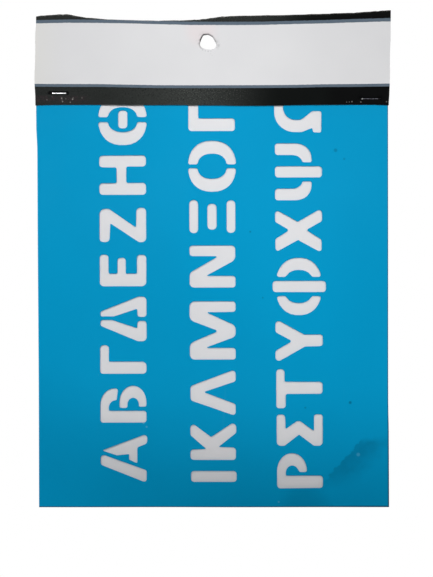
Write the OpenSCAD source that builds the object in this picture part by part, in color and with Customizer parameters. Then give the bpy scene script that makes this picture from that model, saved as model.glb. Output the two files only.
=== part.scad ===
// Lettering stencil on its hanging card: a sheet of plastic film with the twenty-four Greek
// capitals cut out of it, a sheet of white paper behind it, and a folded header card that is
// stapled over the top edges of both.
// It hangs upright. The front faces -Y, +Z is up, and the origin is the middle of the hang hole.

/* [Sheets] */
// Width of the film
sheet_w = 150; // [130:1:220]
// Height of the film, part of it hidden under the card
sheet_h = 200; // [188:1:300]
// Thickness of the film
film_t = 0.3; // [0.15:0.05:0.6]
// Thickness of the paper behind the film
paper_t = 0.2; // [0.1:0.05:0.4]
// How far the paper stops short of the film at the sides and at the bottom
paper_inset = 0.5; // [0:0.1:5]
// How far the top edges of the sheets stand above the middle of the hang hole
sheet_over = 0.8; // [-2:0.1:6]
// Middle of the sheets, to the right of the hang hole
sheet_shift = 2.1; // [-5:0.1:5]
// Height above the film's bottom edge at which the loose sheets start to flex
flex_up = 158.9; // [157:0.1:159.8]

/* [Header card] */
// Width of the card
card_w = 151.5; // [130:0.5:230]
// Thickness of one ply of the card
card_t = 0.35; // [0.2:0.05:0.8]
// From the middle of the hang hole down to the card's lower edge
card_drop = 26.7; // [20:0.1:27]
// From the middle of the hang hole up to the top of the fold
card_rise = 12; // [8:0.1:30]
// Middle of the card, to the right of the hang hole
card_shift = 1.8; // [-5:0.1:5]
// Diameter of the hang hole
hole_d = 6.5; // [5:0.1:8]
// Air between two layers of the pack
play = 0.05; // [0.02:0.01:0.1]

/* [Staples] */
// Width over the crown of a staple
crown_w = 9; // [7:0.1:12]
// Width of the flattened wire
wire_w = 0.5; // [0.4:0.05:0.7]
// Thickness of the flattened wire
wire_t = 0.4; // [0.3:0.05:0.5]
// Length of the wire turned in behind the card on each side
clinch = 3; // [2:0.1:3.3]
// Room around a leg in the holes that it has pierced
leg_room = 0.1; // [0.05:0.01:0.2]
// Middle of the left staple, in from the card's left edge
left_inset = 9.9; // [6:0.1:30]
// Middle of the left staple, up from the card's lower edge
left_up = 4.8; // [2:0.1:10]
// Middle of the right staple, in from the card's right edge
right_inset = 8.1; // [6:0.1:30]
// Middle of the right staple, up from the card's lower edge
right_up = 2.2; // [1.5:0.1:10]

/* [Lettering] */
// Height of a capital
cap_h = 19.8; // [14:0.1:24]
// Base line of the first column, to the right of the middle of the film
base_1 = -28.8; // [-32:0.1:-26]
// Base line of the second column
base_2 = 9.8; // [6:0.1:12]
// Base line of the third column
base_3 = 47.2; // [44:0.1:52]
// Width of the bridges across the ring that is open inside
bridge = 1.6; // [1:0.1:2.5]
// Width of the bridges across the ring that holds a bar
bar_bridge = 2.1; // [1:0.1:2.5]
// Width of the bridges beside the upright stroke of the letters that are cut through the middle
spine_bridge = 1.7; // [1:0.1:2.2]
// Width of that upright stroke
spine = 4.8; // [4.2:0.1:6]

/* [Hidden] */

sheet_top = sheet_over;
sheet_bottom = sheet_top - sheet_h;
flex_z = sheet_bottom + flex_up;

// Layers from front to back, as places along Y
pocket = film_t + paper_t + 3 * play;
film_back = -pocket / 2 + play + film_t;
paper_back = film_back + play + paper_t;
fold_r = pocket / 2 + card_t;

// Staples lie against both faces of the card, and their wire turns sharply at each corner
leg_x = (crown_w - wire_t) / 2;
staple_reach = fold_r + play + wire_t;
inner_bend = 0.1;
outer_bend = inner_bend + wire_t;
left_staple = [card_shift - card_w / 2 + left_inset, left_up - card_drop];
right_staple = [card_shift + card_w / 2 - right_inset, right_up - card_drop];

// The letters are drawn on a body this tall, and each outline is stretched to the cap height
drawn_h = 20;
// Rounded ends of the ring letters, and how far along the ring the plain arc starts
ring_end_r = 0.9;
ring_end = 1.8;
// How square the ring letters are: 1 is a plain ellipse, and less is squarer
ring_power = 0.88;
// Margin by which a cutter passes the faces that it cuts
past = 1;

// Outlines with rounded corners. Each corner is [along the line of text, up from the base
// line, radius], and radius 0 leaves a plain point, as on an arc.
function unit(v) = v / norm(v);
function place(c) = [c[0], c[1]];
function corner(a, b, c) =
    let (to_a = unit(place(a) - place(b)), to_c = unit(place(c) - place(b)),
         half = acos(to_a * to_c) / 2, sweep = 180 - 2 * half, r = b[2],
         middle = place(b) + unit(to_a + to_c) * r / sin(half),
         first = place(b) + to_a * r / tan(half) - middle,
         last = place(b) + to_c * r / tan(half) - middle,
         steps = max(2, ceil(sweep * sqrt(r) / 25)))
    [for (k = [0:steps])
        middle + (first * sin(sweep * (1 - k / steps)) + last * sin(sweep * k / steps)) / sin(sweep)];
function rounded(cs) =
    let (n = len(cs))
    [for (i = [0:n - 1])
        each cs[i][2] > 0 ? corner(cs[(i + n - 1) % n], cs[i], cs[(i + 1) % n]) : [place(cs[i])]];

// Points along part of an ellipse, from one angle to another. A power below 1 makes it squarer.
function swell(v, power) = sign(v) * pow(abs(v), power);
function arc(middle, radii, from, to, power = 1) =
    let (steps = ceil(abs(to - from) / 12))
    [for (k = [0:steps])
        let (a = from + (to - from) * k / steps)
        [middle[0] + radii[0] * swell(cos(a), power), middle[1] + radii[1] * swell(sin(a), power), 0]];

// Height of a ring's edge above its middle, at a distance along from it, and how far the arc's
// angle has turned from upright there
function rise(radii, along) =
    radii[1] * pow(1 - pow(along / radii[0], 2 / ring_power), ring_power / 2);
function turn(radii, along) = asin(pow(along / radii[0], 1 / ring_power));

// One half of a ring, which ends clear of the middle line. side is -1 before it and 1 after it.
function half_ring(middle, outer, inner, clear, side) =
    let (out_from = turn(outer, clear + ring_end), in_from = turn(inner, clear + ring_end),
         right = concat(
             [[middle[0] + clear, middle[1] + rise(outer, clear), ring_end_r]],
             arc(middle, outer, 90 - out_from, out_from - 90, ring_power),
             [[middle[0] + clear, middle[1] - rise(outer, clear), ring_end_r],
              [middle[0] + clear, middle[1] - rise(inner, clear), ring_end_r]],
             arc(middle, inner, in_from - 90, 90 - in_from, ring_power),
             [[middle[0] + clear, middle[1] + rise(inner, clear), ring_end_r]]))
    side > 0 ? right : flipped(right, middle[0]);
function flipped(cs, middle) = [for (c = cs) [2 * middle - c[0], c[1], c[2]]];

// A straight stroke with its corners rounded
function stroke(from, to, low, high, r) =
    [[from, low, r], [from, high, r], [to, high, r], [to, low, r]];

module cut(cs) {
    taller = cap_h / drawn_h;
    polygon(rounded([for (c = cs) [c[0], c[1] * taller, c[2] * min(1, taller)]]));
}
module at(along) translate([along, 0]) children();

module alpha() {
    cut([[0, 0, 1.1], [5.4, 0, 1.2], [12.5, 19.9, 1.4], [7.8, 19.9, 1.4]]);
    cut([[13.9, 19.4, 0.3], [21.1, -0.3, 1.4], [16.8, -0.3, 1.8], [15.2, 4, 1], [8.3, 4, 0.4],
         [10, 7.6, 0.4], [12.3, 7.6, 0.3], [11.8, 12.8, 1]]);
}

module beta() {
    cut(concat([[0, 0, 1.2], [0, 20, 1.4]], arc([7.6, 13.4], [7.2, 6.6], 90, 15),
               [[14.8, 12.2, 1.1], [9.7, 12.9, 0.6]], arc([6.4, 13.1], [3.2, 3.2], 20, 90),
               [[5.1, 16.3, 0.3], [5.1, 0, 1.2]]));
    cut(concat([[6.3, 11.7, 0.9]], arc([8.7, 5.85], [7.1, 5.85], 90, -90),
               [[6.8, 0, 0.9], [6.8, 3.3, 0.6]], arc([7.7, 5.75], [2.9, 2.45], -90, 90),
               [[6.3, 8.2, 0.8]]));
}

module gamma()
    cut([[0.1, -0.1, 1.6], [0.1, 20, 1.2], [12.3, 20, 1.5], [12.3, 16.2, 1.5], [5.3, 16.2, 0.3],
         [5.3, -0.1, 1.9]]);

module delta() {
    cut([[0.2, -0.2, 1.8], [0.2, 3.6, 2], [6.8, 19.8, 1.4], [9.3, 19.8, 1], [9.3, 14.8, 1],
         [5.7, 3.8, 0.4], [8.9, 3.8, 1.2], [8.9, -0.2, 1.2]]);
    cut([[10.6, -0.2, 1.2], [19.3, -0.2, 1.8], [19.3, 3.2, 2], [12.9, 19.8, 1.3], [10.8, 19.8, 0.8],
         [10.8, 14, 1], [14.1, 3.8, 0.4], [10.6, 3.8, 1.2]]);
}

module epsilon()
    cut([[0.1, -0.2, 2], [0.1, 20, 1.8], [13.7, 20, 1.4], [13.7, 16.2, 1.4], [5.5, 16.2, 0.7],
         [5.5, 12.3, 0.7], [12.3, 12.3, 1.3], [12.3, 8.7, 1.3], [5.5, 8.7, 0.5], [5.5, 3.9, 0.5],
         [13.6, 3.9, 1.5], [13.6, -0.2, 1.5]]);

module zeta()
    cut([[0.5, 20, 1.6], [14.7, 20, 2.5], [14.8, 16, 1.5], [6.7, 4.2, 0.3], [15.2, 4, 1.7],
         [15.2, -0.2, 1.7], [0.4, -0.2, 1.8], [0.4, 2.9, 1.5], [8.5, 15.3, 0.3], [0.5, 15.7, 1.6]]);

module eta()
    cut([[0.2, -0.2, 1.5], [0.2, 20, 1.5], [5.2, 20, 1.5], [5.2, 12.5, 0.8], [11.9, 12.5, 0.7],
         [12, 20, 1.5], [17, 20, 1.5], [17.1, -0.2, 1.5], [12.3, -0.2, 1.5], [12.3, 8.3, 0.8],
         [5.3, 8.3, 0.8], [5.4, -0.2, 1.5]]);

module theta() {
    for (side = [-1, 1]) cut(half_ring([11.15, 9.8], [11, 10.5], [5.4, 6.5], bar_bridge / 2, side));
    cut(stroke(7.3, 15.1, 7.7, 11.7, 1.6));
}

module iota() cut(stroke(0.1, 4.8, 0, 19.8, 1.4));

module kappa()
    cut([[0, 0.3, 1.3], [0, 20, 1.5], [4.4, 20, 1.3], [4.7, 13.1, 0.2], [10.6, 20, 1.4],
         [16.4, 20, 1.4], [9.8, 11, 0.4], [16.9, 0.1, 1.6], [11.6, 0.1, 1.4], [5.6, 7.8, 0.2],
         [5.3, 0.3, 1.4]]);

module lambda()
    cut([[0.1, 0.3, 1.2], [6.8, 19.9, 1.6], [12.9, 19.9, 1.6], [20.1, 0.3, 1.4], [14.9, 0.3, 1.3],
         [10.3, 14.2, 0.3], [5.2, 0.3, 1.3]]);

module mu()
    cut([[0.1, 0.2, 1.3], [0.1, 20.1, 2.2], [7.1, 20.1, 3], [12.3, 7.6, 0.5], [17, 20.2, 3],
         [25, 20.2, 2.4], [25, 0.2, 1.4], [20.5, 0.2, 1.3], [20.3, 13, 0.2], [14.6, 0.2, 2.8],
         [9.9, 0.2, 2.4], [5.1, 13.5, 0.2], [5.1, 0.2, 1.3]]);

module nu()
    cut([[0.3, 0.2, 1.3], [0.3, 20.1, 2], [6.6, 20.1, 2.6], [13.7, 7.6, 0.3], [13.8, 20.1, 1.3],
         [18.3, 20.1, 1.3], [18.3, 0.3, 1.6], [12.1, 0.3, 3], [5.3, 13, 0.2], [5.3, 0.2, 1.3]]);

module xi() {
    cut(stroke(0.3, 14.5, 16.3, 20.1, 1.8));
    cut(stroke(1.8, 12.9, 8.3, 12.3, 1.8));
    cut(stroke(0.4, 14.4, 0.2, 4, 1.8));
}

module omicron()
    for (side = [-1, 1]) cut(half_ring([10.95, 10.2], [10.95, 10.4], [5.4, 6.4], bridge / 2, side));

module pi_letter()
    cut([[0, 0.3, 1.3], [0, 20.4, 1.5], [17.6, 20.4, 1.5], [17.6, 0.3, 1.3], [12.1, 0.3, 1.3],
         [12.1, 16.1, 0.5], [5.5, 16.1, 0.5], [5.5, 0.3, 1.3]]);

module rho()
    cut(concat([[0.3, 0.4, 1.3], [0.1, 20.3, 1.6]], arc([7.6, 13.8], [7.6, 6.5], 90, -80),
               [[7.1, 7.3, 0.9], [7.1, 10.4, 0.6]], arc([6.8, 13.7], [3.1, 2.8], -60, 90),
               [[5.6, 16.5, 0.3], [5.6, 0.4, 1.3]]));

module sigma()
    cut([[0.2, 20.4, 1.8], [13.6, 20.4, 1.3], [13.6, 16.8, 1.3], [7.4, 16.5, 0.3], [11.3, 10.9, 2],
         [6.5, 4.2, 0.3], [13.7, 4.2, 1.3], [13.7, 0.4, 1.3], [0.2, 0.4, 1.8], [0.2, 4.2, 1.5],
         [5, 10.7, 0.4], [0.2, 17, 1.5]]);

module tau()
    cut([[0, 20.5, 1.2], [16.7, 20.5, 1.5], [16.7, 16.9, 1.5], [11.3, 16.9, 0.6], [11.2, 0.4, 1.3],
         [6.1, 0.4, 1.3], [6.1, 16.4, 0.8], [0, 16.4, 1.3]]);

module upsilon()
    cut([[-0.5, 20.8, 1.5], [4.8, 20.8, 1.4], [8.9, 13.5, 0.6], [12.8, 20.8, 1.4], [18.5, 20.8, 1.5],
         [11.7, 8.3, 0.6], [11.8, 0.3, 1.2], [6.8, 0.3, 1.2], [6.6, 8, 0.6]]);

module phi() {
    middle = 12.3;
    for (side = [-1, 1])
        cut(half_ring([middle, 10.6], [12.3, 10.1], [7.1, 6.8], spine / 2 + spine_bridge, side));
    cut(stroke(middle - spine / 2, middle + spine / 2, -1.1, 22, 1.4));
}

module chi()
    cut([[-0.2, 20.7, 1.1], [5.6, 20.7, 1.3], [9.3, 14.6, 0.7], [12.9, 20.8, 1.3], [18.3, 20.8, 1.2],
         [12.9, 11, 0.4], [18.8, 0.5, 1.3], [13.2, 0.5, 1.3], [9.4, 7.4, 0.6], [5.2, 0.7, 1.2],
         [-0.4, 0.7, 1.1], [5.1, 10.9, 0.4]]);

module psi() {
    middle = 12.4;
    arm_end = middle - spine / 2 - spine_bridge;
    inner_middle = [8.6, 13.4];
    inner_radii = [3.4, 4.5];
    inner_end = 360 - acos((arm_end - ring_end_r - inner_middle[0]) / inner_radii[0]);
    arm = concat([[0.2, 20.8, 1.3], [5.2, 20.8, 1.3]], arc(inner_middle, inner_radii, 180, inner_end),
                 [[arm_end, 9, ring_end_r], [arm_end, 4.8, ring_end_r]],
                 arc([7.4, 12.6], [7.2, 7.7], 255, 180, ring_power));
    cut(arm);
    cut(flipped(arm, middle));
    cut(stroke(middle - spine / 2, middle + spine / 2, 0.5, 20.8, 1.4));
}

module omega() {
    middle = 11.4;
    outside = [[9.4, 0.7, 0.9], [0.1, 0.7, 0.9], [0.1, 4.2, 1], [2.1, 4.7, 0.3], [0.3, 9.2, 3],
               [0.3, 21.1, 8.8]];
    inside = [[5.6, 17.2, 5.3], [5.6, 9.4, 4], [9.4, 4.6, 1]];
    n = len(outside) - 1;
    m = len(inside) - 1;
    cut(concat(outside, [for (i = [n:-1:0]) flipped(outside, middle)[i]],
               [for (i = [m:-1:0]) flipped(inside, middle)[i]], inside));
}

// Each column reads upward from the bottom of the sheet
module column_1() {
    at(10.4) alpha();
    at(36.2) beta();
    at(57) gamma();
    at(70.8) delta();
    at(94.4) epsilon();
    at(113) zeta();
    at(133.5) eta();
    at(154.8) theta();
}

module column_2() {
    at(10.7) iota();
    at(20.2) kappa();
    at(38.9) lambda();
    at(63) mu();
    at(93.6) nu();
    at(116.9) xi();
    at(134.9) omicron();
    at(160.9) pi_letter();
}

module column_3() {
    at(7.9) rho();
    at(26) sigma();
    at(42.3) tau();
    at(62) upsilon();
    at(82) phi();
    at(109.1) chi();
    at(131) psi();
    at(160.1) omega();
}

module lettering() {
    translate([sheet_shift + base_1, sheet_bottom]) rotate(90) column_1();
    translate([sheet_shift + base_2, sheet_bottom]) rotate(90) column_2();
    translate([sheet_shift + base_3, sheet_bottom]) rotate(90) column_3();
}

// A flat outline in X and Z, stood up with its back face at y = back
module upright(thick, back) translate([0, back, 0]) rotate([90, 0, 0]) linear_extrude(thick) children();

// A strip of sheet, w wide, from one height to another
module strip(w, low, high) translate([sheet_shift - w / 2, low]) square([w, high - low]);

// Everything that is punched or pierced through the pack, as an outline in X and Z
module pierced() {
    circle(d = hole_d, $fn = 64);
    for (s = [left_staple, right_staple], side = [-1, 1])
        translate([s[0] + side * leg_x, s[1]]) circle(d = wire_w + 2 * leg_room, $fn = 24);
}

module stencil_sheet()
    color([0.0, 0.57, 0.77])
        upright(film_t, film_back) difference() {
            strip(sheet_w, sheet_bottom, flex_z);
            lettering();
        }

module stencil_sheet_top()
    color([0.0, 0.6, 0.8])
        upright(film_t, film_back) difference() {
            strip(sheet_w, flex_z, sheet_top);
            lettering();
            pierced();
        }

module backing_sheet()
    color([0.86, 0.87, 0.89])
        upright(paper_t, paper_back)
            strip(sheet_w - 2 * paper_inset, sheet_bottom + paper_inset, flex_z);

module backing_sheet_top()
    color([0.86, 0.87, 0.89])
        upright(paper_t, paper_back) difference() {
            strip(sheet_w - 2 * paper_inset, flex_z, sheet_top);
            pierced();
        }

// One card folded over the top, with its two panels down the front and the back
module header_card() {
    fold_z = card_rise - fold_r;
    color([0.16, 0.17, 0.17]) difference() {
        translate([card_shift - card_w / 2, 0, 0]) rotate([90, 0, 90]) linear_extrude(card_w)
            difference() {
                union() {
                    translate([-fold_r, -card_drop]) square([2 * fold_r, card_drop + fold_z]);
                    translate([0, fold_z]) circle(r = fold_r, $fn = 48);
                }
                translate([-pocket / 2, -card_drop - past]) square([pocket, card_drop + past + fold_z]);
                translate([0, fold_z]) circle(d = pocket, $fn = 48);
            }
        translate([0, fold_r + past, 0]) rotate([90, 0, 0]) linear_extrude(2 * (fold_r + past)) pierced();
    }
}

// A staple of flattened wire, seen from above: the crown in front, the legs through the pack,
// and both ends turned in behind
module staple(middle) {
    half_w = crown_w / 2;
    open = leg_x + wire_t / 2 - clinch;
    color([0.75, 0.76, 0.78]) translate([middle[0], 0, middle[1] - wire_w / 2]) linear_extrude(wire_w)
        difference() {
            polygon(rounded([[-half_w, -staple_reach, outer_bend], [half_w, -staple_reach, outer_bend],
                             [half_w, staple_reach, outer_bend], [-half_w, staple_reach, outer_bend]]));
            polygon(rounded([[wire_t - half_w, wire_t - staple_reach, inner_bend],
                             [half_w - wire_t, wire_t - staple_reach, inner_bend],
                             [half_w - wire_t, staple_reach - wire_t, inner_bend],
                             [wire_t - half_w, staple_reach - wire_t, inner_bend]]));
            translate([-open, 0]) square([2 * open, staple_reach + past]);
        }
}

module staple_left() staple(left_staple);
module staple_right() staple(right_staple);

header_card();
stencil_sheet();
stencil_sheet_top();
backing_sheet();
backing_sheet_top();
staple_left();
staple_right();
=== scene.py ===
import math

import bmesh
import bpy
import numpy as np
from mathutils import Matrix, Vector, noise


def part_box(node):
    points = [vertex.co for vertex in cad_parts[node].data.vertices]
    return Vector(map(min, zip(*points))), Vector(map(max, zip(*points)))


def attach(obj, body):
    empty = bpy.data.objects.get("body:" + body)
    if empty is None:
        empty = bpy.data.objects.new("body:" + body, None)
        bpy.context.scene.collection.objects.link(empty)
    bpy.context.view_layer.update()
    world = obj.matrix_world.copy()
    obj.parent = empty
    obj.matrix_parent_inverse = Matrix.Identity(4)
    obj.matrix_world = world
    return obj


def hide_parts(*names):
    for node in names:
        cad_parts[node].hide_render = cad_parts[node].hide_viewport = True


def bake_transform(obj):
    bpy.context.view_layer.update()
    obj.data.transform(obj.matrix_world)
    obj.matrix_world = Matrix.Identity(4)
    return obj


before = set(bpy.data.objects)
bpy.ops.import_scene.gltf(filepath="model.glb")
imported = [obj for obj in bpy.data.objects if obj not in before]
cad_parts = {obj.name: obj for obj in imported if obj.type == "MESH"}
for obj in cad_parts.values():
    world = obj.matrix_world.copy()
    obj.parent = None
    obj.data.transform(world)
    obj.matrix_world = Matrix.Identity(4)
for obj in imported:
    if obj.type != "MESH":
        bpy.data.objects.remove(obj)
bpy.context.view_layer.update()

mm = 0.001

# The stencil sheet: one sheet of blue plastic film, 0.3 mm thick, with the twenty-four capitals
# punched out of it. Two staples hold its top 27.5 mm in the header card, and the rest hangs
# free, so it lifts forward in one soft bend below the card.
film_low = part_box("stencil_sheet")[0]
film_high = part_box("stencil_sheet_top")[1]
film_t = film_high.y - film_low.y
card_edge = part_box("header_card")[0].z
hinge_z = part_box("stencil_sheet")[1].z
bend_from, bend_to = hinge_z + 3 * mm, hinge_z - 9 * mm
slices_apart, slices_apart_in_bend = 4 * mm, 0.8 * mm
hole_r = 3.25 * mm


def ramp(place, none, full):
    """0 where a place is at none and 1 where it is at full, with a smooth rise between."""
    t = min(1, max(0, (place - none) / (full - none)))
    return t * t * (3 - 2 * t)


def forward(x, z):
    """How far the loose sheets stand in front of flat. Nothing moves where the card holds them."""
    loose = ramp(z, card_edge, card_edge - 45 * mm)
    broad = 0.5 * mm * math.sin(x / (24 * mm) + 0.7)
    slight = 0.25 * mm * math.sin(x / (11 * mm) - z / (31 * mm))
    upward = 0.35 * mm * math.sin(z / (19 * mm))
    curl = 1.3 * mm * ramp(z, -110 * mm, -205 * mm) * (0.75 + 0.25 * math.sin(x / (40 * mm) + 2))
    return loose * (broad + slight + upward) + curl


def places(start, end, apart):
    """Evenly spaced places strictly between two ends."""
    count = round(abs(end - start) / apart)
    return [start + (end - start) * k / count for k in range(1, count)]


def front_faces(nodes):
    """The front of one or more CAD sheets as a single flat mesh."""
    bm = bmesh.new()
    for name in nodes:
        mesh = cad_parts[name].data
        corners = {}
        for face in mesh.polygons:
            if face.normal.y > -0.9:
                continue
            for i in face.vertices:
                if i not in corners:
                    corners[i] = bm.verts.new(mesh.vertices[i].co)
            bm.faces.new([corners[i] for i in face.vertices])
    bmesh.ops.remove_doubles(bm, verts=bm.verts[:], dist=0.002 * mm)
    return bm


def hung_sheet(name, bm, thick, low, high, stand):
    """Slices a flat sheet finely enough to bend, gives it its thickness and lets it hang."""
    sideways, upward = Vector((1, 0, 0)), Vector((0, 0, 1))
    slices = [(sideways, x) for x in places(low.x, high.x, slices_apart)]
    slices += [(upward, z) for z in places(low.z, bend_to, slices_apart) + [bend_to, bend_from]]
    slices += [(upward, z) for z in places(bend_to, bend_from, slices_apart_in_bend)]
    for axis, place in slices:
        bmesh.ops.bisect_plane(bm, geom=bm.verts[:] + bm.edges[:] + bm.faces[:], dist=1e-7,
                               plane_co=axis * place, plane_no=axis)
    bm.normal_update()
    bmesh.ops.recalc_face_normals(bm, faces=bm.faces[:])
    made = bmesh.ops.extrude_face_region(bm, geom=bm.faces[:])["geom"]
    for v in made:
        if isinstance(v, bmesh.types.BMVert):
            v.co.y += thick
    bmesh.ops.recalc_face_normals(bm, faces=bm.faces[:])
    for v in bm.verts:
        at = v.co
        # Clear of the worn hang hole in the card, which is wider than the punched one
        out = Vector((at.x, 0, at.z))
        if out.length < 2 * hole_r:
            grown = out.length + 0.32 * hole_r * (2 - out.length / hole_r)
            at.x, at.z = out.normalized().x * grown, min(out.normalized().z * grown, high.z)
        at.y -= stand(at.x, at.z)
        # The sheets hang a trace askew. They flare a little under the card's left end and at the
        # lower right corner, which hangs lowest
        at.z += 0.22 * mm * ramp(at.z, -170 * mm, -100 * mm) * ramp(at.z, -20 * mm, -40 * mm)
        at.x -= 0.3 * mm * (at.z - low.z) / (high.z - low.z) * (1 - at.x / (150 * mm))
        at.x -= 0.5 * mm * ramp(at.z, -47 * mm, -32 * mm) * ramp(at.x, -40 * mm, -74 * mm)
        at.x += 0.17 * mm * ramp(at.z, -155 * mm, -167 * mm) * ramp(at.x, 40 * mm, 74 * mm)
        at.z -= 0.27 * mm * ramp(at.x, 10 * mm, 85 * mm) * ramp(at.z, -150 * mm, -199 * mm)
    return piece(name, bm)


def piece(name, bm, sharp=35):
    """A new object from a mesh, smooth except along edges sharper than an angle in degrees."""
    bm.normal_update()
    for face in bm.faces:
        face.smooth = True
    for edge in bm.edges:
        if len(edge.link_faces) == 2:
            edge.smooth = edge.calc_face_angle(0) < math.radians(sharp)
    flat = bm.loops.layers.uv.new("flat")
    for face in bm.faces:
        for corner in face.loops:
            corner[flat].uv = (corner.vert.co.x, corner.vert.co.z)
    mesh = bpy.data.meshes.new(name)
    bm.to_mesh(mesh)
    bm.free()
    made = bpy.data.objects.new(name, mesh)
    bpy.context.collection.objects.link(made)
    return made


class Signal:
    """An output of a shader node. Arithmetic on it adds Math nodes, and node() adds any other."""

    def __init__(self, tree, socket=None):
        self.tree, self.socket = tree, socket

    def node(self, kind, settings=(), sockets=(), out=0):
        made = self.tree.nodes.new("ShaderNode" + kind)
        for name, value in dict(settings).items():
            setattr(made, name, value)
        for name, value in dict(sockets).items():
            if isinstance(value, Signal):
                self.tree.links.new(value.socket, made.inputs[name])
            else:
                made.inputs[name].default_value = value
        return Signal(self.tree, made.outputs[out] if made.outputs else None)

    def maths(self, operation, *values):
        return self.node("Math", {"operation": operation}, enumerate(values))

    def __add__(self, other):
        return self.maths("ADD", self, other)

    def __sub__(self, other):
        return self.maths("SUBTRACT", self, other)

    def __rsub__(self, other):
        return self.maths("SUBTRACT", other, self)

    def __mul__(self, other):
        return self.maths("MULTIPLY", self, other)

    __radd__, __rmul__ = __add__, __mul__


def new_finish(name):
    """An empty material, a signal to start from, and the sheet's flat coordinates in metres."""
    material = bpy.data.materials.new(name)
    material.use_nodes = True
    material.node_tree.nodes.clear()
    start = Signal(material.node_tree)
    return material, start, start.node("UVMap", {"uv_map": "flat"}, out="UV")


def coat(start, **sockets):
    """The surface of a finish. Constants go on its sockets."""
    named = {name.replace("_", " "): value for name, value in sockets.items()}
    start.node("OutputMaterial", {}, {"Surface": start.node("BsdfPrincipled", {}, named)})


def fade(value, none, full):
    """0 where the value is at none and 1 where it is at full, smooth between."""
    return value.node("MapRange", {"interpolation_type": "SMOOTHSTEP"},
                      {"Value": value, "From Min": none, "From Max": full})


def mottle(flat, size, seed=0, detail=2.0, stretch=None):
    """Noise from 0 to 1 with features about size metres across."""
    if stretch:
        flat = flat.node("VectorMath", {"operation": "MULTIPLY"}, {0: flat, 1: stretch})
    return flat.node("TexNoise", {"noise_dimensions": "4D"},
                     {"Vector": flat, "W": float(seed), "Scale": 1 / size, "Detail": detail})


def tint(mask, under, over):
    """A colour that goes from under to over as the mask goes from 0 to 1."""
    return mask.node("Mix", {"data_type": "RGBA"}, {0: mask, 6: under, 7: over}, out=2)


def spot_of(flat, x, z, r):
    """A round spot on the sheet, full in the middle and gone at its radius. Sizes in mm."""
    away = flat.node("VectorMath", {"operation": "DISTANCE"},
                     {0: flat, 1: (x * mm, z * mm, 0)}, out="Value")
    return fade(away, r * mm, 0.35 * r * mm)


def spotted(mask, flat, spots):
    """A mask with round spots added, each given as its place and radius in mm and its strength."""
    for x, z, r, much in spots:
        mask = mask + spot_of(flat, x, z, r) * much
    return mask


def relief(height, distance, strength=1.0):
    """Bump from a height signal, distance metres deep."""
    return height.node("Bump", {}, {"Height": height, "Distance": distance, "Strength": strength})


def film_finish():
    material, start, flat = new_finish("satin_blue_film")
    x, z = (start.node("SeparateXYZ", {}, {0: flat}, out=k) for k in (0, 1))
    deep_blue, pale_blue = (0, 0.296, 0.565, 1), (0, 0.338, 0.632, 1)
    colour = tint(mottle(flat, 45 * mm, 1), deep_blue, pale_blue)

    # An oily smear near the lower right corner, with a ragged upper edge that runs down to the
    # left, and a faint painted shade at the foot, where the light thins out
    ragged = (mottle(flat, 2.4 * mm, 2, 3.0) - 0.5) * (5 * mm)
    below = (x - 64.2 * mm) * 0.73 - (z + 171.6 * mm) * 0.683 + ragged
    soft = z + (mottle(flat, 6 * mm, 9) - 0.5) * (5 * mm)
    smear = fade(below, 0, 0.9 * mm) * fade(below, 13.5 * mm, 3 * mm)
    smear = smear * fade(soft, -168.5 * mm, -172.5 * mm) * fade(soft, -193 * mm, -182 * mm)
    streaks = 0.55 + mottle(flat, 3.2 * mm, 3) * 0.8
    # Painted shade: a soft dark patch at the foot of the sheet
    painted_shade_at_foot = spot_of(flat, 41, -200, 14) * 0.3
    colour = tint(smear * streaks * 0.53 + painted_shade_at_foot, colour, (0, 0.155, 0.30, 1))

    # Specks of dust and ink, and faint rubs from handling
    dust = spotted(fade(mottle(flat, 1.5 * mm, 4, 1.0), 0.80, 0.84) * 0.4, flat, (
        (60.7, -154.6, 0.9, 0.8), (41.4, -156.7, 0.6, 0.5), (17.9, -81.2, 0.6, 0.6),
        (54.5, -46.4, 1.1, 0.5), (58.2, -50.1, 0.7, 0.4), (23.2, -109.5, 0.5, 0.5)))
    colour = tint(dust, colour, (0, 0.13, 0.25, 1))
    rubbed = spotted(fade(mottle(flat, 1.3 * mm, 5, 1.0), 0.80, 0.86) * 0.25, flat, (
        (-28.0, -163.1, 0.7, 0.9), (-26.7, -164.8, 0.6, 0.7), (29.9, -197.0, 0.6, 0.7),
        (64.1, -176.9, 1.1, 0.4)))
    scuffs = mottle(flat, 5 * mm, 6, 3.0, (1.0, 0.14, 1.0))
    rubbed = rubbed + fade(scuffs, 0.66, 0.78) * 0.10
    colour = tint(rubbed, colour, (0.09, 0.43, 0.66, 1))

    # A dark line along the cut edges at the foot and on the right: the cut edge, with painted
    # shade for the thin shadow it casts
    from_edge = start.maths("MINIMUM", z - film_low.z, film_high.x - x)
    colour = tint(fade(from_edge, 0.55 * mm, 0.2 * mm) * 0.8, colour, (0.01, 0.06, 0.11, 1))

    fine = mottle(flat, 0.45 * mm, 7)
    coat(start, Base_Color=colour, Roughness=0.34 + mottle(flat, 9 * mm, 8) * 0.16 + smear * 0.12,
         Normal=relief(fine + scuffs * 0.8, 0.012 * mm, 0.35), Specular_IOR_Level=0.02)
    return material


film = hung_sheet("StencilSheet", front_faces(["stencil_sheet", "stencil_sheet_top"]), film_t,
                  film_low, film_high, forward)
film.data.materials.append(film_finish())
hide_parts("stencil_sheet", "stencil_sheet_top")
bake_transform(film)

# The backing sheet: one sheet of plain white paper behind the film, a little smaller all round. It
# is held with the film, hangs free below the card, and stands away from it towards its corners.
paper_low, paper_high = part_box("backing_sheet")[0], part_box("backing_sheet_top")[1]


def paper_forward(x, z):
    """The paper hangs like the film, but a little behind it, and most at its lower corners."""
    corner = ramp(z, -90 * mm, -200 * mm) * (x / (75 * mm)) ** 2
    behind = 0.2 * mm * ramp(z, card_edge, card_edge - 10 * mm)
    return forward(x, z) - 0.35 * mm * corner - behind


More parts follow.
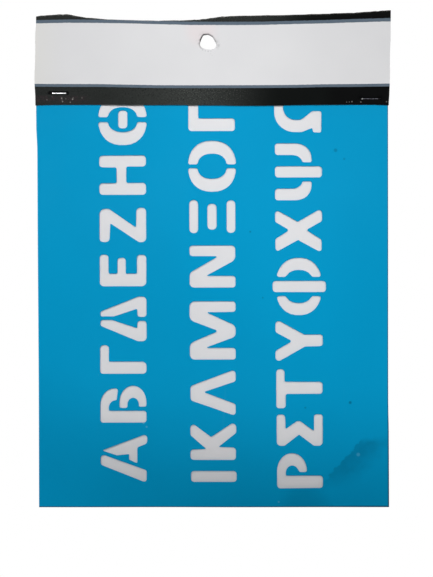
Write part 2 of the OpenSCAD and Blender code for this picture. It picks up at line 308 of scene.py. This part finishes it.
def paper_finish():
    material, start, flat = new_finish("uncoated_white_paper")
    fibres = mottle(flat, 0.5 * mm, 11, 3.0, (1.0, 0.45, 1.0))
    clouds = mottle(flat, 7 * mm, 12, 3.0)
    dull_white, clear_white = (0.745, 0.745, 0.765, 1), (0.805, 0.802, 0.818, 1)
    coat(start, Base_Color=tint(clouds * 0.7 + fibres * 0.3, dull_white, clear_white),
         Roughness=0.82 + fibres * 0.1, Normal=relief(fibres, 0.02 * mm, 0.5),
         Specular_IOR_Level=0.25)
    return material


paper = hung_sheet("BackingSheet", front_faces(["backing_sheet", "backing_sheet_top"]),
                   paper_high.y - paper_low.y, paper_low, paper_high, paper_forward)
paper.data.materials.append(paper_finish())
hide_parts("backing_sheet", "backing_sheet_top")
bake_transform(paper)

# The header card: one thin coated card, printed in black, white and two blue-grey stripes, folded
# by hand over the tops of both sheets, so the fold wanders. It is stapled through near both ends,
# and its hang hole is torn a little out of round by the hook.
card_low, card_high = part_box("header_card")
ply = 0.35 * mm
fold_r = card_high.y
staples = [(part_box(name)[0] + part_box(name)[1]) / 2 for name in ("staple_left", "staple_right")]
leg_x = (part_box("staple_left")[1].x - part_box("staple_left")[0].x) / 2 - 0.2 * mm
# Places in mm along the card, with what each table gives there: the top of the fold, how far the
# lower edge sags, and how far the print above and below the white band wanders from straight
fold = np.array([
    (-74, 11.45), (-70, 11.5), (-64, 11.9), (-60, 12.0), (-55, 11.0), (-51, 10.4), (-42, 9.7),
    (-31, 9.35), (-21, 9.15), (-10, 9.3), (-4, 9.6), (1, 10.2), (5, 10.8), (12, 11.2), (33, 11.5),
    (39, 11.7), (50, 12.0), (63, 12.5), (70, 13.0), (77.5, 13.5)])
lower_sag = np.array([
    (-74, 0.3), (-66, 0.1), (-46, 0.1), (-33, 0.27), (-14, 0.25), (5, 0.45), (14, 0.6),
    (28, 0.6), (37, 0.37), (62, 0.26), (72, 0.3), (77, 0.5)])
upper_print = np.array([
    (-72, 0.33), (-59, 0.56), (-46, 0.44), (-34, 0.24), (-21, -0.13), (-8, -0.48), (11, -0.56),
    (24, -0.51), (37, -0.17), (50, 0.07), (63, 0.5), (76, 0.86)])
lower_print = np.array([
    (-72, 0.29), (-59, 0.18), (-46, 0.14), (-34, -0.12), (-21, -0.38), (-8, -0.44), (24, -0.44),
    (37, -0.35), (50, -0.1), (63, -0.04), (76, 0.12)])
# How far the two ends stand out to the right, by height in mm
left_end = np.array([
    (-26, 0.0), (-22.5, -0.05), (-19, -0.28), (-15.6, -0.36), (-12, -0.28), (-9, -0.1), (-5, 0.0),
    (1.5, 0.0), (5, 0.2), (8.4, 0.38), (12, 0.4)])
right_end = np.array([
    (-26, -0.3), (-22.5, -0.08), (-17, 0.06), (-5, 0.03), (1.5, 0.17), (12, 0.15)])
# The worn outline of the hang hole, in mm from its middle
hole = [
    (-1.94, 2.82), (-1.15, 2.95), (-0.17, 3.09), (0.62, 2.87), (1.41, 2.43), (2.0, 1.95),
    (2.49, 1.10), (2.88, 0.31), (3.28, -0.35), (3.5, -1.07), (3.42, -1.86), (2.98, -2.58),
    (2.29, -2.94), (1.41, -3.2), (0.62, -3.35), (-0.36, -3.18), (-1.44, -2.99), (-2.33, -2.67),
    (-3.05, -2.2), (-3.4, -1.46), (-3.48, -0.67), (-3.22, 0.21), (-2.92, 1.10), (-2.46, 2.08)]


def wander(table, place):
    """What a table in mm gives at a place in metres, in metres."""
    return float(np.interp(place / mm, table[:, 0], table[:, 1])) * mm


def crest(x):
    """Height of the fold at a place along it. The fold is a little rough, and round at its end."""
    rough = 0.16 * noise.noise((x / (1.7 * mm), 0, 0)) + 0.1 * noise.noise((x / (0.6 * mm), 5, 0))
    end = min(1, max(0, (x - card_low.x) / (0.7 * mm)))
    return wander(fold, x) + (rough - 0.45 * (1 - math.sqrt(1 - (1 - end) ** 2))) * mm


def lifted(x, z):
    """How far a panel stands off the sheets: its lower edge gapes between the staples."""
    gape = 0.3 * mm * ramp(z, -10 * mm, -27 * mm) ** 2
    for s in staples:
        gape *= 1 - math.exp(-((x - s.x) / (16 * mm)) ** 2)
    return gape + 0.09 * mm * (1 + noise.noise((x / (21 * mm), z / (15 * mm), 3)))


def pressed(x, z):
    """How deep the outer face is pressed in, at the hang hole and round the staples' legs."""
    uneven = 0.6 + 0.4 * noise.noise((x / (2 * mm), z / (2 * mm), 9))
    deep = 0.2 * mm * ramp(math.hypot(x, z), 5.6 * mm, 3.4 * mm) * uneven
    for s in staples:
        for leg in (-leg_x, leg_x):
            from_leg = math.hypot(x - s.x - leg, z - s.z)
            deep += 0.19 * mm * math.exp(-(from_leg / (0.9 * mm)) ** 2)
        if abs(x - s.x) < leg_x:
            deep += 0.1 * mm * math.exp(-((z - s.z) / (0.6 * mm)) ** 2)
    return min(deep, 0.22 * mm)


def spread(ends, fine):
    """Grid places between two ends, 2.2 mm apart, and closer inside each fine stretch."""
    found = [ends[0], ends[1]] + places(ends[0], ends[1], 2.2 * mm)
    for low, high, apart in fine:
        found = [p for p in found if not low <= p <= high or p in ends]
        found += [low] + places(low, high, apart) + [high]
    return sorted(set(round(p, 7) for p in found if ends[0] <= p <= ends[1]))


def card_mesh():
    """Both panels and the fold, as an outer and an inner skin joined along all open edges."""
    round_hole = (-6.5 * mm, 6.5 * mm, 0.65 * mm)
    round_staples = [(s.x - 6.5 * mm, s.x + 6.5 * mm, 0.45 * mm) for s in staples]
    xs = spread((card_low.x, card_high.x), [round_hole] + round_staples)
    zs = spread((card_low.z, 7.6 * mm), [round_hole, (-26.6 * mm, -19 * mm, 0.45 * mm)])
    turn = 12
    bm = bmesh.new()
    skin = {}
    for layer, r in (("outer", fold_r), ("inner", fold_r - ply)):
        for i, x in enumerate(xs):
            middle = crest(x) - fold_r
            rise = zs + [zs[-1] + (middle - zs[-1]) * k / 4 for k in range(1, 5)]
            column = [(-1, z) for z in rise] + [(k, middle) for k in range(1, turn)]
            column += [(1, z) for z in rise[::-1]]
            for j, (side, z) in enumerate(column):
                if turn > j - len(rise) + 1 > 0:
                    angle = math.pi * side / turn
                    y, height = -r * math.cos(angle), z + r * math.sin(angle)
                else:
                    settled = ramp(z, middle, middle - 6 * mm)
                    y = side * (r + lifted(x, z) * settled)
                    if layer == "outer":
                        y -= side * pressed(x, z) * settled
                    height = z
                share = (height - card_low.z) / (card_high.z - card_low.z)
                slant = 0.45 * mm * share * ramp(x, -20 * mm, 77 * mm)
                slant += wander(left_end, height) * ramp(x, -66 * mm, -74 * mm)
                slant += wander(right_end, height) * ramp(x, 66 * mm, 74 * mm)
                height -= wander(lower_sag, x) * ramp(height, -21 * mm, -26 * mm)
                skin[layer, i, j] = bm.verts.new((x + slant, y, height))
        last = j
    n = len(xs) - 1
    for i in range(n):
        for j in range(last):
            for layer in ("outer", "inner"):
                bm.faces.new([skin[layer, i, j], skin[layer, i + 1, j], skin[layer, i + 1, j + 1],
                              skin[layer, i, j + 1]])
        for j in (0, last):
            bm.faces.new([skin["outer", i, j], skin["outer", i + 1, j], skin["inner", i + 1, j],
                          skin["inner", i, j]])
    for j in range(last):
        for i in (0, n):
            bm.faces.new([skin["outer", i, j], skin["outer", i, j + 1], skin["inner", i, j + 1],
                          skin["inner", i, j]])
    bmesh.ops.recalc_face_normals(bm, faces=bm.faces[:])
    return bm


def torn_outline():
    """The hang hole's outline as a closed smooth curve through its points, in metres."""
    outline = []
    for k in range(len(hole)):
        a, b, c, d = (Vector(hole[(k + s) % len(hole)]) for s in (-1, 0, 1, 2))
        for t in (0, 0.25, 0.5, 0.75):
            p = 0.5 * (2 * b + (c - a) * t + (2 * a - 5 * b + 4 * c - d) * t * t
                       + (3 * b - a - 3 * c + d) * t ** 3)
            p *= 1 + 0.012 * noise.noise((p.x * 2.5, p.y * 2.5, 1))
            outline.append((p.x * mm, p.y * mm))
    return outline


def punch():
    """The hang hole and the staples' holes, as prisms that pass through both panels."""
    leg_hole_r = 0.24 * mm
    rings = [torn_outline()]
    for s in staples:
        for leg in (-leg_x, leg_x):
            rings.append([(s.x + leg + leg_hole_r * math.cos(a), s.z + leg_hole_r * math.sin(a))
                          for a in np.linspace(0, 2 * math.pi, 13)[:-1]])
    bm = bmesh.new()
    for ring in rings:
        near, far = ([bm.verts.new((x, y, z)) for x, z in ring] for y in (-4 * mm, 4 * mm))
        bm.faces.new(near)
        bm.faces.new(far[::-1])
        for k in range(len(ring)):
            m = (k + 1) % len(ring)
            bm.faces.new([near[k], far[k], far[m], near[m]])
    bmesh.ops.recalc_face_normals(bm, faces=bm.faces[:])
    return bm


def cut_with(target, cutter):
    """Takes the cutter's shape out of the target for good, and drops the cutter."""
    cut = target.modifiers.new("cut", "BOOLEAN")
    cut.operation, cut.object, cut.solver = "DIFFERENCE", cutter, "EXACT"
    seen = target.evaluated_get(bpy.context.evaluated_depsgraph_get())
    shape = bpy.data.meshes.new_from_object(seen)
    target.modifiers.clear()
    old, target.data = target.data, shape
    shape.name = target.name
    bpy.data.meshes.remove(old)
    bpy.data.objects.remove(cutter)


def band(height, low, high):
    """A printed band between two heights in mm, with edges 0.1 mm soft."""
    half = 0.05
    return (fade(height, (low - half) * mm, (low + half) * mm)
            * fade(height, (high + half) * mm, (high - half) * mm))


def printed_finish():
    material, start, flat = new_finish("printed_coated_card")
    x, up = (start.node("SeparateXYZ", {}, {0: flat}, out=k) for k in (0, 1))
    worn_map = start.node("UVMap", {"uv_map": "wear"}, out="UV")
    from_hole, from_fold = (start.node("SeparateXYZ", {}, {0: worn_map}, out=k) for k in (0, 1))
    deepest = (0.0006, 0.0008, 0.0009, 1)

    # White band, darker and warmer by a trace towards its left end, with a pink cast over the hole
    white = tint(mottle(flat, 22 * mm, 22, 3.0), (0.70, 0.70, 0.715, 1), (0.765, 0.765, 0.775, 1))
    white = tint(fade(x, -60 * mm, -76 * mm) * 0.5, white, (0.74, 0.735, 0.69, 1))
    white = tint(spot_of(flat, -3.0, 5.6, 9.0) * 0.5, white, (0.79, 0.69, 0.70, 1))

    # Painted shade: the hang hole's edge is dark over its top and left, and soft grey further out
    # where the card is dented, with faint cracks below the hole
    rim = spot_of(flat, -1.5, 3.2, 4.2)
    rim = spotted(rim, flat, ((-3.6, 0.0, 4.0, 0.55), (2.4, 1.8, 2.6, 0.5)))
    rim = fade(from_hole, 0.85 * mm, 0.2 * mm) * rim * (0.55 + mottle(flat, 0.9 * mm, 23) * 0.5)
    dent_shade = spot_of(flat, -4.2, 2.4, 5.0) + spot_of(flat, 4.2, -0.2, 3.6)
    dent_shade = dent_shade * fade(mottle(flat, 1.8 * mm, 34), 0.4, 0.65)
    rim = rim + fade(from_hole, 2.4 * mm, 0.3 * mm) * dent_shade * 0.24
    rim = spotted(rim, flat, (
        (4.3, -0.9, 0.9, 0.2), (-2.35, -2.95, 0.45, 0.22), (-1.2, -3.35, 0.4, 0.2),
        (0.0, -3.55, 0.45, 0.24), (1.2, -3.5, 0.4, 0.16), (1.0, -4.6, 0.5, 0.06),
        (1.7, -5.4, 0.5, 0.05)))
    # Painted shade round the hole's edge, and the faint cracks below it
    white = tint(rim * 0.9, white, (0.06, 0.06, 0.062, 1))

    # Black bands: a painted sheen makes them greyer on the left of the middle, where they are also
    # finely crazed, and they are deep black at the right
    upper = fade(up, -5 * mm, 5 * mm)
    painted_sheen = (0.55 + fade(x, -50 * mm, -8 * mm) * 0.45) * fade(x, 33 * mm, -10 * mm)
    painted_sheen = painted_sheen * (1 - upper) + upper * fade(x, 46 * mm, 22 * mm) * 0.62
    black = tint(fade(x, 56 * mm, 46 * mm), deepest, (0.0018, 0.0026, 0.0024, 1))
    sheen_mottled = painted_sheen * (0.82 + mottle(flat, 3 * mm, 24) * 0.36)
    # Painted sheen: the black print turns grey where it would reflect the surroundings
    black = tint(sheen_mottled, black, (0.034, 0.0375, 0.0355, 1))
    crazed = fade(mottle(flat, 0.5 * mm, 25, 3.0), 0.48, 0.72) * painted_sheen
    crazed = crazed * (0.4 + fade(x, -24 * mm, -6 * mm) * fade(x, 26 * mm, 10 * mm))
    black = tint(crazed * 0.5, black, (0.11, 0.115, 0.105, 1))
    pitted = fade(mottle(flat, 0.7 * mm, 33, 3.0), 0.47, 0.3) * painted_sheen
    black = tint(pitted * 0.8, black, (0.004, 0.005, 0.005, 1))

    # Round the left end the print is scuffed in a faint brownish band below the staple
    scuffed = fade(up, -22.7 * mm, -23.6 * mm) * fade(up, -26.3 * mm, -25.4 * mm)
    scuffed = scuffed * fade(x, -49 * mm, -56 * mm)
    scuffed = scuffed * fade(mottle(flat, 1.6 * mm, 26, 3.0, (1.0, 2.4, 1.0)), 0.38, 0.62)
    black = tint(scuffed * 0.5, black, (0.045, 0.026, 0.032, 1))

    # The white band lies on a blue-grey one, and shows it as a stripe along both its edges
    height = up + (mottle(flat, 1.2 * mm, 21) - 0.5) * (0.25 * mm)
    stripe = tint(mottle(flat, 4 * mm, 27), (0.095, 0.135, 0.175, 1), (0.13, 0.165, 0.21, 1))
    colour = tint(band(height, -19.3, 9.1), black, stripe)
    colour = tint(band(height, -18.1, 7.7), colour, white)

    # Under and round the staples the card is pressed in, with painted shade round the wire. Near
    # them, and on the fold, the print is worn off in flecks
    for s, half in zip(staples, (3.1 * mm, 2.6 * mm)):
        beside = fade(start.maths("ABSOLUTE", x - s.x), half + 1.4 * mm, half + 0.9 * mm)
        shade_round_wire = fade(start.maths("ABSOLUTE", up - s.z), 0.95 * mm, 0.45 * mm) * beside
        # Painted shade round each staple's crown
        colour = tint(shade_round_wire * 0.9, colour, deepest)
    worn = fade(mottle(flat, 0.5 * mm, 28, 3.0), 0.64, 0.72) * spot_of(flat, -62, -24.4, 12.0)
    worn = worn * fade(up, -22.6 * mm, -23.3 * mm) * 0.6
    along_fold = fade(from_fold, 0.9 * mm, 0.1 * mm)
    along_fold = along_fold * fade(mottle(flat, 0.6 * mm, 30, 3.0), 0.5, 0.62)
    worn = spotted(worn + along_fold * 0.5, flat, (
        (-62.7, -24.2, 0.42, 0.65), (-62.5, -24.9, 0.3, 0.3), (-62.3, -25.6, 0.4, 0.7),
        (-58.0, -24.6, 0.42, 0.75), (-57.8, -24.0, 0.35, 0.25), (-60.9, -24.4, 0.4, 0.2),
        (-69.0, -24.9, 0.4, 0.25), (-59.0, -25.9, 0.4, 0.4), (-54.0, -24.0, 0.5, 0.15),
        (59.2, -25.8, 0.3, 0.35), (60.4, -25.75, 0.3, 0.4), (61.5, -25.6, 0.35, 0.6),
        (65.3, -25.8, 0.35, 0.5), (76.3, -25.8, 0.35, 0.5), (77.2, -25.7, 0.3, 0.5)))
    colour = tint(worn * 0.8, colour, (0.42, 0.40, 0.38, 1))

    rough = 0.42 + painted_sheen * 0.12 + mottle(flat, 5 * mm, 31) * 0.1
    grain = mottle(flat, 0.8 * mm, 32, 3.0) + crazed * 0.5
    coat(start, Base_Color=colour, Roughness=rough, Normal=relief(grain, 0.02 * mm, 0.5),
         Specular_IOR_Level=0.02)
    return material


def core_finish():
    material, start, flat = new_finish("cut_edge_of_card")
    layers = mottle(flat, 0.3 * mm, 41, 3.0)
    colour = tint(layers, (0.34, 0.33, 0.31, 1), (0.62, 0.60, 0.57, 1))
    coat(start, Base_Color=colour, Roughness=0.9, Normal=relief(layers, 0.03 * mm, 0.6),
         Specular_IOR_Level=0.2)
    return material


card = piece("HeaderCard", card_mesh())
cut_with(card, piece("Punch", punch()))
wear_map = card.data.uv_layers.new(name="wear")
flat_map = card.data.uv_layers["flat"]
torn = np.array(torn_outline())
for face in card.data.polygons:
    away = math.hypot(face.center.x, face.center.z)
    at_fold = face.center.z > crest(face.center.x) - 1.2 * fold_r
    across = abs(face.normal.x) > 0.8 or face.normal.z < -0.8
    punched = abs(face.normal.y) < 0.5 and (away < 1.4 * hole_r or face.center.z < -20 * mm)
    face.material_index = 1 if across or punched and not at_fold else 0
    for loop in face.loop_indices:
        place = card.data.vertices[card.data.loops[loop].vertex_index].co
        upward = min(1, max(0, (place.z + 18 * mm) / (26 * mm)))
        off = wander(lower_print, place.x) * (1 - upward) + wander(upper_print, place.x) * upward
        flat_map.uv[loop].vector = (place.x, place.z - off)
        from_hole = np.hypot(torn[:, 0] - place.x, torn[:, 1] - place.z).min()
        wear_map.uv[loop].vector = (from_hole, crest(place.x) - place.z)
card.data.materials.append(printed_finish())
card.data.materials.append(core_finish())
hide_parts("header_card")
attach(card, "pack")

# The two staples: flattened steel wire with rounded edges. The crown lies in front and the legs
# pass through the pack and are clinched flat behind it, with their tips turned into the card.
wire_w, wire_t = 0.44 * mm, 0.4 * mm
corner_r, shoulder = 0.34 * mm, 1.25 * mm
clinched = 2.8 * mm


def staple_path(run, reach, bow):
    """The wire's middle line seen from above, from tip to tip round the crown in front."""
    tip, quarter = run - clinched, math.pi / 2
    path = [(-tip, reach - 0.22 * mm), (-tip - 0.35 * mm, reach - 0.06 * mm)]
    for k in range(1, 6):
        path.append((-tip - (run - corner_r - tip) * k / 6,
                     reach + 0.03 * mm * math.sin(math.pi * k / 6)))
    for a in np.linspace(0, quarter, 7):
        path.append((-run + corner_r * (1 - math.sin(a)), reach - corner_r * (1 - math.cos(a))))
    for a in np.linspace(0, quarter, 9):
        path.append((-run + shoulder * (1 - math.cos(a)), -reach + corner_r * (1 - math.sin(a))))
    for k in range(1, 10):
        path.append(((shoulder - run) * (1 - k / 10), -reach - bow * math.sin(math.pi * k / 20)))
    # Left of its middle the crown's last points lie together, straight in front of the tip
    left = [(min(x, -tip), y) for x, y in path]
    return left + [(0, -reach - bow)] + [(-x, y) for x, y in path[::-1]]


def staple_mesh(name, bow):
    """The wire swept along its path, in the box of its CAD node. Bow is how far the crown stands
    forward in its middle."""
    low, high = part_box(name)
    middle, half = (low + high) / 2, (high - low) / 2
    path = staple_path(half.x - wire_t / 2, half.y - wire_t / 2, bow)
    bm = bmesh.new()
    rings = []
    for k, (x, y) in enumerate(path):
        a, b = path[max(k - 1, 0)], path[min(k + 1, len(path) - 1)]
        along = Vector((b[0] - a[0], b[1] - a[1])).normalized()
        thin = 0.45 if k in (0, len(path) - 1) else 1
        ring = []
        for t in np.linspace(0, 2 * math.pi, 17)[:-1]:
            c, s = math.cos(t), math.sin(t)
            out = thin * wire_t / 2 * math.copysign(abs(c) ** 0.55, c)
            up = wire_w / 2 * math.copysign(abs(s) ** 0.55, s)
            ring.append(bm.verts.new((middle.x + x + along.y * out, middle.y + y - along.x * out,
                                      middle.z + up)))
        rings.append(ring)
    for a, b in zip(rings, rings[1:]):
        for k in range(16):
            m = (k + 1) % 16
            bm.faces.new([a[k], a[m], b[m], b[k]])
    bm.faces.new(rings[0])
    bm.faces.new(rings[-1][::-1])
    bmesh.ops.recalc_face_normals(bm, faces=bm.faces[:])
    return bm


def wire_finish(name, middle, unshaded_reach, bright, dull, glint_spots, seed):
    """Wire that is bright or dull over the unshaded part of its crown, which reaches as far
    either way from its middle, with painted shade where it turns in, and painted glints at given
    places."""
    material, start, flat = new_finish(name)
    drawn = mottle(flat, 0.5 * mm, seed, 3.0, (0.2, 2.0, 1.0))
    tarnish = fade(mottle(flat, 1.1 * mm, seed + 1), 0.42, 0.66)
    x = start.node("SeparateXYZ", {}, {0: flat})
    shade_where_turned_in = fade(start.maths("ABSOLUTE", x - middle), unshaded_reach, unshaded_reach + 0.45 * mm)
    # Painted shade where the wire turns into the card
    colour = tint(shade_where_turned_in, tint(tarnish, bright, dull), (0.004, 0.004, 0.0045, 1))
    for a, b, r in glint_spots:
        # Painted glints on the wire
        colour = tint(spot_of(flat, a, b, r), colour, (0.3, 0.31, 0.31, 1))
    rough = 0.2 + drawn * 0.14 + tarnish * 0.12 + shade_where_turned_in * 0.4
    coat(start, Base_Color=colour, Metallic=1 - shade_where_turned_in * 0.9, Roughness=rough,
         Normal=relief(drawn, 0.01 * mm, 0.5), Specular_IOR_Level=0.1)
    return material


# The left one is bright but for painted shade at its left end, and the right one is dark, with one
# painted glint
for name, node, bow, aside, unshaded_reach, bright, dull, glint_spots, seed in (
        ("StapleLeft", "staple_left", 0.05 * mm, 0.3 * mm, 2.65 * mm, (0.80, 0.80, 0.81, 1),
         (0.62, 0.62, 0.63, 1), (), 51),
        ("StapleRight", "staple_right", 0.0, 0.0, 2.95 * mm, (0.042, 0.042, 0.05, 1),
         (0.025, 0.025, 0.03, 1), ((65.9, -24.4, 0.55),), 54)):
    staple = piece(name, staple_mesh(node, bow), 50)
    middle = (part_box(node)[0].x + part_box(node)[1].x) / 2 + aside
    finish = wire_finish(node + "_wire", middle, unshaded_reach, bright, dull, glint_spots, seed)
    staple.data.materials.append(finish)
    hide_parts(node)
    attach(staple, "pack")

# The studio: a pale round floor well below the hanging pack, a white surround, three soft-edged
# lamps high in front, whose light thins out towards the foot of the sheet, and one behind.
floor_z, floor_r = -320 * mm, 400 * mm
ambient = 0.28


def floor_finish():
    material, start, _ = new_finish("pale_floor")
    place = start.node("NewGeometry", out="Position")
    from_middle = start.node("VectorMath", {"operation": "LENGTH"}, {0: place}, out="Value")
    rim = fade(from_middle, 0.75 * floor_r, 1.2 * floor_r)
    ground = start.node("BsdfDiffuse", {}, {"Color": (0.88, 0.88, 0.88, 1)})
    white = start.node("Emission", {}, {"Strength": start.node("LightPath", out="Is Camera Ray")})
    surface = start.node("MixShader", {}, {0: rim, 1: ground, 2: white})
    start.node("OutputMaterial", {}, {"Surface": surface})
    return material


bm = bmesh.new()
bmesh.ops.create_circle(bm, cap_ends=True, radius=floor_r, segments=96)
for v in bm.verts:
    v.co.z = floor_z
floor = piece("Floor", bm)
floor.data.materials.append(floor_finish())

surround = bpy.data.worlds.new("white_surround")
bpy.context.scene.world = surround
surround.use_nodes = True
surround.node_tree.nodes.clear()
sky = Signal(surround.node_tree)
seen = sky.node("LightPath", out="Is Camera Ray")
for ray in ("Is Glossy Ray", "Is Transmission Ray"):
    seen = seen.maths("MAXIMUM", seen, sky.node("LightPath", out=ray))
strength = ambient + seen * (1 - ambient)
light = sky.node("Background", {}, {"Color": (1, 1, 1, 1), "Strength": strength})
sky.node("OutputWorld", {}, {"Surface": light})


def lamp(kind, name, place, aim, watts, **settings):
    """A lamp at a place, turned to what it is aimed at."""
    light = bpy.data.lights.new(name, kind)
    light.energy = watts
    for key, value in settings.items():
        setattr(light, key, value)
    made = bpy.data.objects.new(name, light)
    bpy.context.collection.objects.link(made)
    made.location = place
    made.rotation_euler = (Vector(aim) - Vector(place)).to_track_quat("-Z", "Y").to_euler()


for name, place, aim, watts, cone, soft in (
        ("left", (-0.45, -1.25, 0.45), (-0.3, 0, -0.059), 36.9, 31.68, 0.75),
        ("right", (0.42, -1.25, 0.38), (0.3, 0, 0.065), 32.8, 32.54, 0.508),
        ("middle", (-0.15, -1.35, 0.25), (0.017, 0, 0.018), 17.1, 17.18, 0.338)):
    lamp("SPOT", name, place, aim, watts, spot_size=math.radians(cone), spot_blend=soft,
         shadow_soft_size=0.02)
lamp("AREA", "back", (0.3, 1.1, 0.5), (0, 0, -0.1), 14, size=0.6)

eye = bpy.data.cameras.new("camera")
eye.lens, eye.sensor_width, eye.sensor_fit = 116.385, 36, "AUTO"
camera = bpy.data.objects.new("camera", eye)
bpy.context.collection.objects.link(camera)
camera.location = (2.93 * mm, -800 * mm, -93.09 * mm)
camera.rotation_euler = [math.radians(a) for a in (89.11, 0.109, -0.035)]
bpy.context.scene.camera = camera
bpy.context.scene.view_settings.view_transform = "Standard"
